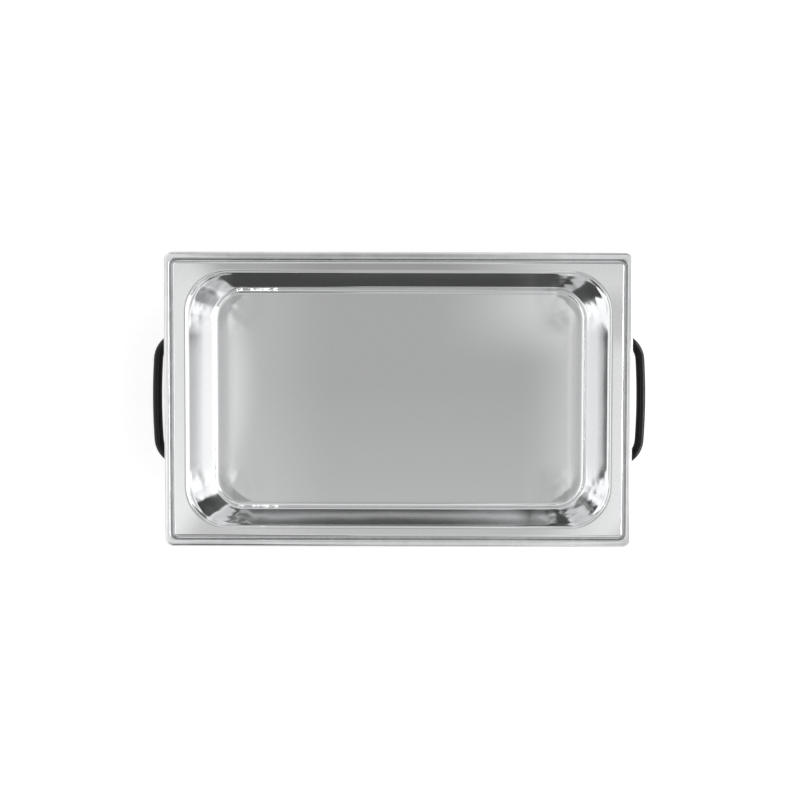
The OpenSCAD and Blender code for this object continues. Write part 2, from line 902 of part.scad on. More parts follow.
module switch_body() {
    color("#181818")
        on_front(switch_x)
            difference() {
                union() {
                    translate([0, 0, 1])
                        cube([switch_box_w + 3.4, switch_box_l + 3.4, 2], center = true);
                    translate([0, 0, -switch_depth / 2 + 0.5])
                        cube([switch_box_w, switch_box_l, switch_depth + 1], center = true);
                    for (s = [-1, 1], i = [-1, 1])
                        translate([s * switch_tab_x, i * switch_tab_z, -switch_depth - tab_l / 2])
                            cube([tab_t, tab_w, tab_l], center = true);
                }
                translate([0, 0, -4])
                    cube([switch_cavity_w, switch_cavity_l, 14], center = true);
                translate([0, 0, -rocker_pivot])
                    rotate([0, 90, 0])
                        cylinder(d = rocker_pin_d + 2 * turn_fit, h = switch_box_w + 2, center = true);
            }
}

module switch_rocker() {
    rise = rocker_l / 2 * tan(rocker_swing);
    color("#a01818")
        on_front(switch_x)
            translate([0, 0, -rocker_pivot])
                rotate([rocker_swing, 0, 0]) {
                    rotate([90, 0, 90])
                        linear_extrude(rocker_w, center = true)
                            polygon([
                                [-rocker_l / 2, rocker_face + rise],
                                [0, rocker_face],
                                [rocker_l / 2, rocker_face + rise],
                                [rocker_l / 2 - 1.5, -3],
                                [1.5 - rocker_l / 2, -3]]);
                    rotate([0, 90, 0])
                        cylinder(d = rocker_pin_d, h = switch_box_w - 1, center = true);
                }
}

module pilot_lamp_body() {
    color("#181818")
        on_front(lamp_x)
            difference() {
                union() {
                    cylinder(d = lamp_d + 5, h = 1.5);
                    translate([0, 0, -lamp_depth])
                        cylinder(d = lamp_d, h = lamp_depth + 1);
                    for (s = [-1, 1])
                        translate([s * lamp_tab_x, 0, 1 - lamp_depth - tab_l / 2])
                            cube([tab_t, lamp_tab_w, tab_l], center = true);
                }
                translate([0, 0, -6])
                    cylinder(d = lamp_d - 2.5, h = 9);
            }
}

module pilot_lamp_lens() {
    color("#ff8020")
        on_front(lamp_x) {
            translate([0, 0, -5])
                cylinder(d = lamp_d - 2.5 - 2 * thread_fit, h = 6.5);
            translate([0, 0, 1.5])
                rotate_extrude()
                    intersection() {
                        translate([0, -2])
                            circle(lamp_d / 2 + 1.4);
                        square(lamp_d);
                    }
        }
}

module pilot_lamp_nut() {
    color("#181818")
        on_front(lamp_x)
            translate([0, 0, -housing_t - 3])
                hex_nut(lamp_d + 6, 3, lamp_d + 2 * thread_fit);
}

module cable_gland() {
    color("#181818")
        on_back(gland_x)
            difference() {
                union() {
                    translate([0, 0, -gland_in])
                        cylinder(d = gland_d, h = gland_in + 1);
                    cylinder(d = gland_d + 8, h = gland_hex_h, $fn = 6);
                    translate([0, 0, gland_hex_h - 1])
                        cylinder(d = gland_d - 1, h = gland_seat - seal_h - gland_hex_h + 1);
                }
                translate([0, 0, -gland_in - 1])
                    cylinder(d = cord_d + 1, h = gland_in + gland_l);
            }
}

module gland_cap() {
    color("#202020")
        on_back(gland_x)
            difference() {
                union() {
                    translate([0, 0, gland_hex_h + loose_fit])
                        cylinder(d = gland_d + 6, h = gland_l - 6 - gland_hex_h, $fn = 12);
                    translate([0, 0, gland_l - 6])
                        cylinder(r1 = gland_d / 2 + 2.4, r2 = gland_d / 2 - 1, h = 6);
                }
                translate([0, 0, gland_hex_h - 1])
                    cylinder(d = gland_d - 1 + 2 * thread_fit, h = gland_seat - gland_hex_h + 1);
                cylinder(d = cord_d, h = gland_l + 1);
            }
}

module gland_seal() {
    color("#404040")
        on_back(gland_x)
            translate([0, 0, gland_seat - seal_h + thread_fit])
                difference() {
                    cylinder(d = gland_d - 1, h = seal_h - 2 * thread_fit);
                    translate([0, 0, -1])
                        cylinder(d = cord_d + 2 * thread_fit, h = seal_h + 2);
                }
}

module gland_locknut() {
    color("#181818")
        on_back(gland_x)
            translate([0, 0, -housing_t - 4])
                hex_nut(gland_d + 9, 4, gland_d + 2 * thread_fit);
}

module terminal_block() {
    color("#e8e4d8")
        translate([block_x, block_y, bay_z])
            difference() {
                union() {
                    translate([0, 0, block_h / 4])
                        cube([block_l, block_w, block_h / 2], center = true);
                    for (i = [-1, 0, 1])
                        translate([i * block_pole, 0, block_h / 2])
                            cube([block_pole - 2, block_w - 3, block_h], center = true);
                }
                for (i = [-1, 0, 1])
                    translate([i * block_pole, 0, block_h * 0.55])
                        rotate([90, 0, 0])
                            cylinder(d = 3.6, h = block_w + 2, center = true);
                for (i = [-1, 1], s = [-1, 1])
                    translate([i * block_pole, s * block_w * 0.25, block_h * 0.6])
                        cylinder(d = 4, h = block_h);
                translate([0, 0, -1])
                    cylinder(d = m3 + 2 * loose_fit, h = block_h + 2);
                translate([0, 0, block_h - 5])
                    cylinder(d = m3_head + 2 * loose_fit, h = 6);
            }
}

module terminal_screw() {
    color("silver")
        translate([block_x, block_y, bay_z]) {
            translate([0, 0, block_h - 5])
                cylinder(d = m3_head, h = m3_head_h);
            translate([0, 0, -base_t - 2])
                cylinder(d = m3, h = block_h - 4 + base_t + 2);
        }
}

module earth_stud() {
    color("#c0a050")
        translate([earth_x, earth_y, bay_z])
            cylinder(d = m4, h = 14);
}

module earth_nut() {
    color("#c0a050")
        translate([earth_x, earth_y, bay_z])
            hex_nut(8, earth_nut_h, m4 + 2 * thread_fit);
}

module wiring() {
    d = 2.4;
    low_z = bay_z + 6;
    pole_y = block_y - block_w / 2 + 5;
    pole_z = bay_z + block_h * 0.55;
    pin_x = element_leg / 2 + tail_l + pin_l + lead_fit;
    pin_y = 1.5 * element_pitch;
    switch_y = switch_end_y + lead_fit;
    switch_up_z = control_z + switch_tab_z;
    switch_low_z = control_z - switch_tab_z;
    thermostat_y = thermostat_end_y + lead_fit;
    thermostat_z = control_z - thermostat_tab_z;
    cutout_z = cutout_end_z - lead_fit;
    earth_z = bay_z + earth_nut_h + d / 2 + lead_fit;
    lamp_y = lamp_end_y + lead_fit;
    shared_z = 1.6;
    // Mains from the block to the switch
    color("#c04030")
        wire(route(
            [block_x - block_pole, pole_y, pole_z], [0, -1, 0], [
                [block_x - 34, 20, low_z],
                [switch_x + 2, -60, low_z]],
            [0, 1, 0], [switch_x - switch_tab_x, switch_y, switch_low_z]), d);
    color("#3050a0") {
        // Neutral from the block to the switch
        wire(route(
            [block_x, pole_y, pole_z], [0, -1, 0], [
                [block_x - 22, 20, low_z],
                [switch_x + 16, -60, low_z]],
            [0, 1, 0], [switch_x + switch_tab_x, switch_y, switch_low_z]), d);
        // Neutral from the switch to the far end of the element
        wire(route(
            [switch_x + switch_tab_x, switch_y, switch_up_z + shared_z], [0, 1, 0], [
                [switch_x + 52, -40, bay_z + 14],
                [pin_x - 6, 30, bay_z + 20],
                [pin_x + 16, pin_y - 10, element_z - 6]],
            [1, 0, 0], [pin_x, pin_y, element_z]), d);
        // Neutral from the switch to the lamp
        wire(route(
            [switch_x + switch_tab_x, switch_y, switch_up_z - shared_z], [0, 1, 0], [
                [(switch_x + lamp_x) / 2, switch_y + 14, control_z + 8]],
            [0, 1, 0], [lamp_x - lamp_tab_x, lamp_y, control_z]), d);
    }
    color("#604020") {
        // Switched line from the switch to the thermostat
        wire(route(
            [switch_x - switch_tab_x, switch_y, switch_up_z], [0, 1, 0], [
                [switch_x - 4, switch_y + 16, control_z + 1],
                [lamp_x - 12, switch_y + 20, control_z - 4]],
            [0, 1, 0], [knob_x - thermostat_tab_x, thermostat_y, thermostat_z]), d);
        // From the thermostat to the lamp
        wire(route(
            [knob_x - thermostat_tab_x, thermostat_y, control_z + thermostat_tab_z], [0, 1, 0], [
                [(knob_x + lamp_x) / 2, thermostat_y + 16, control_z + 8]],
            [0, 1, 0], [lamp_x + lamp_tab_x, lamp_y, control_z]), d);
        // From the thermostat to the cut-out
        wire(route(
            [knob_x + thermostat_tab_x, thermostat_y, thermostat_z], [0, 1, 0], [
                [knob_x - 30, -80, bay_z + 12],
                [90, -30, bay_z + 14],
                [cutout_x + 18, -12, cutout_z - 14]],
            [0, 0, -1], [cutout_x, -cutout_tab_y, cutout_z]), d);
        // From the cut-out to the near end of the element
        wire(route(
            [cutout_x, cutout_tab_y, cutout_z], [0, 0, -1], [
                [cutout_x + 18, 14, cutout_z - 14],
                [110, -4, bay_z + 17],
                [pin_x + 6, 26 - pin_y, bay_z + 24],
                [pin_x + 16, 10 - pin_y, element_z - 6]],
            [1, 0, 0], [pin_x, -pin_y, element_z]), d);
    }
    // Earth from the block to the stud
    color("#40a040")
        wire(route(
            [block_x + block_pole, pole_y, pole_z], [0, -1, 0], [
                [block_x + 34, pole_y - 18, bay_z + 8]],
            [-1, 0, 0], [earth_x - m4 / 2 - lead_fit, earth_y, earth_z]), d);
}

food_pan();
water_pan();
housing();
base_plate();
base_screws();
foot(-1, -1);  // foot_front_left
foot(1, -1);  // foot_front_right
foot(-1, 1);  // foot_rear_left
foot(1, 1);  // foot_rear_right
foot_screws();
foot_nuts();
handle_left();
handle_right();
handle_collars();
handle_screws();
heat_spreader();
heating_element();
clamp_bars();
heater_studs();
heater_nuts();
thermal_cutout();
cutout_screws();
thermostat_body();
thermostat_screws();
thermostat_shaft();
thermostat_knob();
thermostat_bulb();
switch_body();
switch_rocker();
pilot_lamp_body();
pilot_lamp_lens();
pilot_lamp_nut();
cable_gland();
gland_cap();
gland_seal();
gland_locknut();
terminal_block();
terminal_screw();
earth_stud();
earth_nut();
wiring();
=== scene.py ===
import json
import math

import bmesh
import bpy
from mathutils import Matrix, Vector


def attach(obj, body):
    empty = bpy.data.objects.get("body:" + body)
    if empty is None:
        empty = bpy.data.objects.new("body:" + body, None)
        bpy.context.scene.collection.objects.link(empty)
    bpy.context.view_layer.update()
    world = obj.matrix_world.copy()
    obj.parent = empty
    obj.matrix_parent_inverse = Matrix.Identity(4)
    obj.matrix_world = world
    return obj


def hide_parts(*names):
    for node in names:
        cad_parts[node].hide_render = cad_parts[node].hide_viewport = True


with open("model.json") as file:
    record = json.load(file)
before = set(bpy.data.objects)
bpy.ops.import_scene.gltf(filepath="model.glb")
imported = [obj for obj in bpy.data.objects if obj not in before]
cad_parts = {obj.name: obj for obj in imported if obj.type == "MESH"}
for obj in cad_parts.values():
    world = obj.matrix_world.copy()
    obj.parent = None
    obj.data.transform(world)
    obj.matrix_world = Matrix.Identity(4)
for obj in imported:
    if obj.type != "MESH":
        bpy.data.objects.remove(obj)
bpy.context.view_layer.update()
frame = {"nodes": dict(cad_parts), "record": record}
nodes = frame["nodes"]

# Sizes in millimetres, for the dish itself the same as in the CAD model
MM = 0.001
# Outlines: length, width, corner radius; flange and curb: width at the ends and at the sides
PAN = (530.0, 325.0, 6.0)
PAN_FLANGE = (17.5, 14.0)
PAN_OPEN = (PAN[0] - 2 * PAN_FLANGE[0], PAN[1] - 2 * PAN_FLANGE[1], 47.0)
RIM_GAP = 2.0
RECESS = (PAN[0] + 2 * RIM_GAP, PAN[1] + 2 * RIM_GAP, PAN[2] + RIM_GAP)
CURB = (7.5, 9.0)
RIM = (RECESS[0] + 2 * CURB[0], RECESS[1] + 2 * CURB[1], 11.0)
WELL_GAP = 4.5
WELL = (PAN_OPEN[0] + 2 * WELL_GAP, PAN_OPEN[1] + 2 * WELL_GAP, PAN_OPEN[2] + WELL_GAP)
# Turned edges and the step: radius, sheet, height
PAN_EDGE = (3.5, 1.0, 4.5)
STEP = (1.5, 1.0, 6.5)
SKIRT = (4.0, 1.0, 9.0)
# Tubs: lip radius, floor radius, sheet, depth, draft in degrees
PAN_TUB = (3.0, 6.0, 1.0, 65.0, 8.0)
WELL_TUB = (3.0, 18.0, 1.0, 91.5, 3.0)
# Change of the pan wall's draft from its middle to its top and bottom, in degrees
WALL_SWELL = 1.5
# Flat sheet kept beside a bend, and broken edge of a sheet's free end
SHEET_RUN = 0.6
EDGE_BREAK = 0.25
PAN_Z = 161.0
PAN_FLOOR_Z = PAN_Z - PAN_TUB[3] + PAN_TUB[2]
LEDGE_Z = PAN_Z - PAN_EDGE[2]
CURB_Z = LEDGE_Z + STEP[2]
# Housing: length, width
HOUSING = (518.0, 320.0)
FRONT_Y = -HOUSING[1] / 2
CONTROL_Z = 41.0
KNOB_X = 190.0
LAMP_X = 140.0
SWITCH_X = 98.0
# Feet and screws: place from the middle, or along the long and the short walls and from the edge
FOOT = (217.0, 118.0)
BASE_SCREW = (218.0, 80.0, 7.5)
FOOT_SCREW_Z = 11.0
BASE_Z = 16.0
HANDLE_Z = CURB_Z - 36.0
HANDLE_SPAN = 156.0
HANDLE_D = 10.5
GRIP_X = HOUSING[0] / 2 + 40.0
BEND_R = 30.0
BOW_R = 780.0
# Screws: shank radius, length, head radius, head height, arm of the cross recess
FOOT_BOLT = (2.5, 12.0, 4.5, 2.8, 2.3)
BASE_BOLT = (1.75, 6.0, 3.5, 2.2, 1.8)
# Turn of the knob's pointer from upright at rest, and step of its dial marks, in degrees
KNOB_REST = 135.0
DIAL_STEP = 27.0
# Dial: inner ends of the marks and middle of the numbers from the knob's axis, size of the numbers
MARK_R = 23.6
NUMBER_R = 29.6
NUMBER_SIZE = 6.2
# Rocker: half swing and face slope in degrees, height of its middle over the pivot, depth of the pivot
ROCKER = (10.0, 5.5, 3.0)
ROCKER_MARK_Y = 7.2
# Facets in a quarter turn of a rounded outline, in a lip or edge, a pan wall and a floor bend
CORNER = 24
LIP_STEPS = 8
WALL_STEPS = 12
FLOOR_STEPS = 14
# Facets round a handle's bar, along its bends and along its bow
BAR_SIDES = 40
BEND_STEPS = 20
BOW_STEPS = 24
# Edges that turn by more degrees than this are shaded sharp
SHARP = 32.0
CORNERS = [(s, t) for s in (-1, 1) for t in (-1, 1)]


# Node trees
def shader(name):
    """A new material with its Principled shader."""
    mat = bpy.data.materials.new(name)
    mat.use_nodes = True
    tree = mat.node_tree
    tree.nodes.clear()
    out = tree.nodes.new("ShaderNodeOutputMaterial")
    bsdf = tree.nodes.new("ShaderNodeBsdfPrincipled")
    tree.links.new(bsdf.outputs["BSDF"], out.inputs["Surface"])
    return mat, tree, bsdf


def put(socket, value, tree):
    """Sets a socket to a value, or links it to another socket."""
    if isinstance(value, bpy.types.NodeSocket):
        tree.links.new(value, socket)
    else:
        socket.default_value = value


def maths(tree, kind, a, b=0.0):
    """The result of a sum, a product or the like."""
    node = tree.nodes.new("ShaderNodeMath")
    node.operation = kind
    put(node.inputs[0], a, tree)
    put(node.inputs[1], b, tree)
    return node.outputs["Value"]


def noise(tree, scale, detail, rough=0.5, stretch=(1, 1, 1)):
    """Noise over the object's own coordinates, in metres, stretched by three factors."""
    place = tree.nodes.new("ShaderNodeTexCoord")
    mapping = tree.nodes.new("ShaderNodeMapping")
    mapping.inputs["Scale"].default_value = stretch
    tree.links.new(place.outputs["Object"], mapping.inputs["Vector"])
    tex = tree.nodes.new("ShaderNodeTexNoise")
    tree.links.new(mapping.outputs["Vector"], tex.inputs["Vector"])
    tex.inputs["Scale"].default_value = scale
    tex.inputs["Detail"].default_value = detail
    tex.inputs["Roughness"].default_value = rough
    return tex.outputs["Fac"]


def spread(tree, value, from_low, from_high, low, high, soft=False):
    """Maps a value from one range to another."""
    node = tree.nodes.new("ShaderNodeMapRange")
    if soft:
        node.interpolation_type = "SMOOTHSTEP"
    put(node.inputs["Value"], value, tree)
    node.inputs["From Min"].default_value = from_low
    node.inputs["From Max"].default_value = from_high
    put(node.inputs["To Min"], low, tree)
    put(node.inputs["To Max"], high, tree)
    return node.outputs["Result"]


def blend_colour(tree, value, low, high):
    """A colour between low and high."""
    node = tree.nodes.new("ShaderNodeMix")
    node.data_type = "RGBA"
    put(node.inputs["Factor"], value, tree)
    put(node.inputs[6], low, tree)
    put(node.inputs[7], high, tree)
    return node.outputs[2]


def shade(colour, factor):
    """The colour made lighter or darker."""
    return tuple(min(1.0, c * factor) for c in colour) + (1.0,)


def bump(tree, height, distance, below=None):
    """A bump of that height in metres, over another bump."""
    node = tree.nodes.new("ShaderNodeBump")
    node.inputs["Strength"].default_value = 1.0
    node.inputs["Distance"].default_value = distance
    tree.links.new(height, node.inputs["Height"])
    if below is not None:
        tree.links.new(below, node.inputs["Normal"])
    return node.outputs["Normal"]


def axis_value(tree, axis):
    """One object coordinate of the shaded point, in metres."""
    place = tree.nodes.new("ShaderNodeTexCoord")
    split = tree.nodes.new("ShaderNodeSeparateXYZ")
    tree.links.new(place.outputs["Object"], split.inputs["Vector"])
    return split.outputs[axis]


def from_middle(tree, axis):
    """Distance of the shaded point from the object's middle along one axis, in metres."""
    return maths(tree, "ABSOLUTE", axis_value(tree, axis))


def steel(name, colour, rough, vary, grain, wave, grain_depth, wave_depth):
    """Sheet metal with a stretched grain and a slight unevenness."""
    mat, tree, bsdf = shader(name)
    fine = noise(tree, 1.0, 4.0, 0.6, grain)
    broad = noise(tree, wave, 2.0)
    tone = spread(tree, fine, 0.3, 0.7, 0.0, 1.0)
    tint = blend_colour(tree, tone, shade(colour, 0.94), shade(colour, 1.04))
    put(bsdf.inputs["Base Color"], tint, tree)
    put(bsdf.inputs["Roughness"], spread(tree, fine, 0.25, 0.75, rough - vary, rough + vary), tree)
    bsdf.inputs["Metallic"].default_value = 1.0
    waves = bump(tree, broad, wave_depth)
    put(bsdf.inputs["Normal"], bump(tree, fine, grain_depth, waves), tree)
    return mat


def moulded(name, colour, rough, speck, depth, edge_pale, coat, shine):
    """Plastic, rubber or paint with a fine skin, its colour lighter along sharp edges."""
    mat, tree, bsdf = shader(name)
    skin = noise(tree, speck, 3.0, 0.6)
    cloud = noise(tree, 18.0, 2.0)
    tint = blend_colour(tree, cloud, shade(colour, 0.8), shade(colour, 1.25))
    if edge_pale > 0:
        # Colour made lighter along sharp edges
        edge = tree.nodes.new("ShaderNodeNewGeometry").outputs["Pointiness"]
        pale_edges = spread(tree, edge, 0.53, 0.62, 0.0, edge_pale)
        lift = tuple(min(1.0, c * 2.0 + 0.05) for c in colour) + (1.0,)
        tint = blend_colour(tree, pale_edges, tint, lift)
    put(bsdf.inputs["Base Color"], tint, tree)
    put(bsdf.inputs["Roughness"], spread(tree, skin, 0.25, 0.75, rough * 0.8, rough * 1.2), tree)
    bsdf.inputs["Specular IOR Level"].default_value = shine
    bsdf.inputs["Coat Weight"].default_value = coat
    bsdf.inputs["Coat Roughness"].default_value = 0.05
    put(bsdf.inputs["Normal"], bump(tree, skin, depth), tree)
    return mat


# Materials
def drawn_outside(tree, height):
    """1 on the outside of the pan's tub, 0 inside it and on the flange."""
    rim = PAN_Z * MM
    place = tree.nodes.new("ShaderNodeTexCoord")
    level = tree.nodes.new("ShaderNodeVectorMath")
    level.operation = "MULTIPLY"
    tree.links.new(place.outputs["Object"], level.inputs[0])
    level.inputs[1].default_value = (1.0, 1.0, 0.0)
    outward = tree.nodes.new("ShaderNodeVectorMath")
    outward.operation = "DOT_PRODUCT"
    tree.links.new(level.outputs["Vector"], outward.inputs[0])
    tree.links.new(place.outputs["Normal"], outward.inputs[1])
    facing = tree.nodes.new("ShaderNodeSeparateXYZ")
    tree.links.new(place.outputs["Normal"], facing.inputs["Vector"])
    wall = spread(tree, outward.outputs["Value"], 0.01, 0.03, 0.0, 1.0, True)
    wall = spread(tree, height, rim - 0.0060, rim - 0.0048, wall, 0.0)
    return spread(tree, facing.outputs["Z"], -0.4, -0.1, 1.0, wall)


def corner_wrinkle(tree, height):
    """Height of the slight wrinkles in the drawn corners, which end below the flange."""
    rim = PAN_Z * MM
    far = spread(tree, from_middle(tree, "X"), 0.17, 0.215, 0.0, 1.0, True)
    aside = spread(tree, from_middle(tree, "Y"), 0.08, 0.115, 0.0, 1.0, True)
    on_wall = spread(tree, height, rim - 0.011, rim - 0.004, 1.0, 0.0, True)
    fold = spread(tree, noise(tree, 24.0, 2.0), 0.0, 1.0, 0.0, on_wall)
    return maths(tree, "MULTIPLY", maths(tree, "MULTIPLY", far, aside), fold)


def pan_material():
    """Deep-drawn steel: polished walls and flange over a satin floor, duller outside."""
    mat, tree, bsdf = shader("pan_steel")
    grain = noise(tree, 1.0, 4.0, 0.6, (40.0, 2600.0, 40.0))
    cross = noise(tree, 700.0, 3.0, 0.6)
    broad = noise(tree, 9.0, 2.0)
    height = axis_value(tree, "Z")
    far = from_middle(tree, "X")
    floor = PAN_FLOOR_Z * MM
    polish = spread(tree, height, floor + 0.0001, floor + 0.0020, 0.0, 1.0, True)
    outside = drawn_outside(tree, height)
    # The satin floor is hazier towards both ends, and less so in the corners
    most = spread(tree, from_middle(tree, "Y"), 0.075, 0.115, 0.26, 0.08, True)
    haze = spread(tree, far, 0.210, 0.226, 0.0, most, True)
    satin = maths(tree, "ADD", spread(tree, cross, 0.3, 0.7, 0.055, 0.08), haze)
    gloss = spread(tree, grain, 0.3, 0.7, 0.03, 0.06)
    inside_rough = spread(tree, polish, 0.0, 1.0, satin, gloss)
    drawn_rough = spread(tree, grain, 0.3, 0.7, 0.22, 0.30)
    put(bsdf.inputs["Roughness"], spread(tree, outside, 0.0, 1.0, inside_rough, drawn_rough), tree)
    # Both ends of the floor are painted brighter, a painted reflection of light from the end walls
    colour = (0.76, 0.765, 0.77)
    tone = spread(tree, cross, 0.3, 0.7, 0.0, 1.0)
    bright = blend_colour(tree, tone, shade(colour, 0.96), shade(colour, 1.03))
    painted_end_glow = spread(tree, far, 0.215, 0.223, 0.0, 1.0, True)
    painted_end_glow = spread(tree, polish, 0.0, 1.0, painted_end_glow, 0.0)
    bright = blend_colour(tree, painted_end_glow, bright, shade(colour, 1.21))
    dull = blend_colour(tree, tone, shade(colour, 0.66), shade(colour, 0.72))
    put(bsdf.inputs["Base Color"], blend_colour(tree, outside, bright, dull), tree)
    bsdf.inputs["Metallic"].default_value = 1.0
    waves = bump(tree, broad, 1.2e-4)
    waves = bump(tree, corner_wrinkle(tree, height), 1.2e-3, waves)
    put(bsdf.inputs["Normal"], bump(tree, cross, 3e-7, waves), tree)
    return mat


def lamp_material():
    """Clear amber plastic, glowing a little."""
    mat, tree, bsdf = shader("lamp_amber")
    cell = noise(tree, 260.0, 2.0)
    colour = (0.95, 0.30, 0.03)
    tint = blend_colour(tree, cell, shade(colour, 0.75), shade(colour, 1.0))
    put(bsdf.inputs["Base Color"], tint, tree)
    put(bsdf.inputs["Roughness"], spread(tree, cell, 0.3, 0.7, 0.06, 0.14), tree)
    bsdf.inputs["Transmission Weight"].default_value = 0.35
    bsdf.inputs["Emission Color"].default_value = (1.0, 0.28, 0.02, 1.0)
    bsdf.inputs["Emission Strength"].default_value = 0.25
    put(bsdf.inputs["Normal"], bump(tree, cell, 4e-5), tree)
    return mat


# Metals: name, colour, roughness, its spread, stretch of the grain, scale of the waves, depth of both
METALS = [
    ("rim_steel", (0.78, 0.785, 0.79), 0.11, 0.03, (60, 60, 60), 9.0, 5e-7, 6e-5),
    ("housing_steel", (0.53, 0.53, 0.525), 0.26, 0.07, (0.9, 0.9, 2300), 5.0, 3e-6, 1.0e-4),
    ("base_steel", (0.56, 0.57, 0.58), 0.42, 0.08, (900, 40, 40), 6.0, 4e-6, 2e-4),
    ("fastener_steel", (0.68, 0.68, 0.68), 0.26, 0.08, (900, 900, 900), 60.0, 3e-6, 1e-5),
    ("spreader_aluminium", (0.80, 0.81, 0.82), 0.36, 0.06, (1200, 30, 30), 8.0, 4e-6, 2e-4),
    ("element_sheath", (0.33, 0.29, 0.25), 0.46, 0.1, (220, 220, 220), 40.0, 8e-6, 2e-5),
    ("copper", (0.74, 0.40, 0.25), 0.32, 0.1, (500, 500, 500), 50.0, 4e-6, 1e-5),
    ("brass", (0.76, 0.58, 0.27), 0.28, 0.08, (600, 600, 600), 60.0, 3e-6, 1e-5),
]
# Plastics, rubber and print: name, colour, roughness, scale and depth of the skin, paler edges, coat,
# shine
MOULDINGS = [
    ("foot_rubber", (0.022, 0.022, 0.023), 0.72, 1400.0, 3e-5, 0.5, 0.0, 0.5),
    ("handle_black", (0.004, 0.004, 0.0045), 0.09, 420.0, 4e-6, 0.0, 0.0, 0.3),
    ("collar_black", (0.022, 0.022, 0.023), 0.34, 1100.0, 1e-5, 0.4, 0.0, 0.5),
    ("cutout_black", (0.045, 0.045, 0.045), 0.5, 900.0, 1e-5, 0.3, 0.0, 0.5),
    ("thermostat_case", (0.58, 0.55, 0.48), 0.5, 700.0, 1e-5, 0.3, 0.0, 0.5),
    ("knob_black", (0.016, 0.016, 0.017), 0.30, 1300.0, 1.2e-5, 0.5, 0.0, 0.5),
    ("switch_black", (0.024, 0.024, 0.025), 0.36, 1200.0, 1e-5, 0.4, 0.0, 0.5),
    ("rocker_red", (0.42, 0.018, 0.014), 0.20, 700.0, 6e-6, 0.2, 0.3, 0.5),
    ("gland_black", (0.026, 0.026, 0.027), 0.42, 1000.0, 1.2e-5, 0.5, 0.0, 0.5),
    ("block_ceramic", (0.80, 0.76, 0.68), 0.45, 600.0, 2e-5, 0.2, 0.0, 0.5),
    ("wire_insulation", (0.42, 0.12, 0.07), 0.45, 800.0, 1e-5, 0.0, 0.0, 0.5),
    ("print_dark", (0.02, 0.02, 0.022), 0.45, 1500.0, 3e-6, 0.0, 0.0, 0.5),
    ("print_white", (0.82, 0.82, 0.80), 0.42, 1500.0, 3e-6, 0.0, 0.0, 0.5),
]
M = {"pan_steel": pan_material(), "lamp_amber": lamp_material()}
M.update((row[0], steel(*row)) for row in METALS)
M.update((row[0], moulded(*row)) for row in MOULDINGS)

# Every CAD node wears the material of its slot
for part in frame["record"]["subparts"]:
    mesh = nodes[part["node"]].data
    mesh.materials.clear()
    mesh.materials.append(M[part["material_slot"]])


# Mesh building, in millimetres
def piece(name, verts, faces, slot, body, covers=()):
    """A smooth-shaded piece that rides on a body and stands for some CAD nodes."""
    bm = bmesh.new()
    made = [bm.verts.new((x * MM, y * MM, z * MM)) for x, y, z in verts]
    for face in faces:
        bm.faces.new([made[i] for i in face])
    bmesh.ops.remove_doubles(bm, verts=bm.verts, dist=1e-7)
    bmesh.ops.recalc_face_normals(bm, faces=bm.faces)
    mesh = bpy.data.meshes.new(name)
    bm.to_mesh(mesh)
    bm.free()
    mesh.materials.append(M[slot])
    mesh.polygons.foreach_set("use_smooth", [True] * len(mesh.polygons))
    mesh.set_sharp_from_angle(angle=math.radians(SHARP))
    obj = bpy.data.objects.new(name, mesh)
    bpy.context.scene.collection.objects.link(obj)
    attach(obj, body)
    if covers:
        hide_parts(*covers)


def ring(outline, offset, z):
    """Points of a rounded rectangle (length, width, corner radius), grown by offset, at height z."""
    length, width, radius = outline
    r = radius + offset
    x = length / 2 - radius
    y = width / 2 - radius
    points = []
    for turn, (sx, sy) in enumerate(((1, 1), (-1, 1), (-1, -1), (1, -1))):
        for i in range(CORNER + 1):
            a = math.radians(90 * turn + 90 * i / CORNER)
            points.append((sx * x + r * math.cos(a), sy * y + r * math.sin(a), z))
    return points


def swept(outline, z, section):
    """Rings of a section's (offset, height) points, swept round an outline at height z."""
    return [ring(outline, offset, z + height) for offset, height in section]


def arc(cx, cz, r, a0, a1, steps):
    """Points of an arc in a section."""
    angles = [math.radians(a0 + (a1 - a0) * i / steps) for i in range(steps + 1)]
    return [(cx + r * math.cos(a), cz + r * math.sin(a)) for a in angles]


def loft(rings, start=True, end=True, loop=False):
    """Vertices and faces of a skin through rings with equal numbers of points."""
    n = len(rings[0])
    verts = [p for points in rings for p in points]
    faces = []
    last = len(rings) if loop else len(rings) - 1
    for i in range(last):
        j = (i + 1) % len(rings)
        for k in range(n):
            m = (k + 1) % n
            faces.append((i * n + k, i * n + m, j * n + m, j * n + k))
    if start and not loop:
        faces.append(tuple(range(n)))
    if end and not loop:
        faces.append(tuple((len(rings) - 1) * n + k for k in range(n)))
    return verts, faces


def joined(parts):
    """Several vertex and face lists as one."""
    verts = []
    faces = []
    for v, f in parts:
        base = len(verts)
        verts.extend(v)
        faces.extend(tuple(i + base for i in face) for face in f)
    return verts, faces


def swelled(a, b, draft_a, draft_b, steps):
    """Points between a and b on a curve that leaves a and reaches b at two drafts in degrees."""
    ta = (-math.sin(math.radians(draft_a)), -math.cos(math.radians(draft_a)))
    tb = (-math.sin(math.radians(draft_b)), -math.cos(math.radians(draft_b)))
    run = (b[0] - a[0], b[1] - a[1])
    reach = 0.5 * math.hypot(*run)
    if draft_a != draft_b:
        cross = ta[0] * tb[1] - ta[1] * tb[0]
        reach = (run[0] * tb[1] - run[1] * tb[0]) / cross
    c = (a[0] + reach * ta[0], a[1] + reach * ta[1])
    points = []
    for k in range(1, steps):
        s = k / steps
        weights = ((1 - s) ** 2, 2 * s * (1 - s), s * s)
        points.append(tuple(sum(w * p[i] for w, p in zip(weights, (a, c, b))) for i in (0, 1)))
    return points


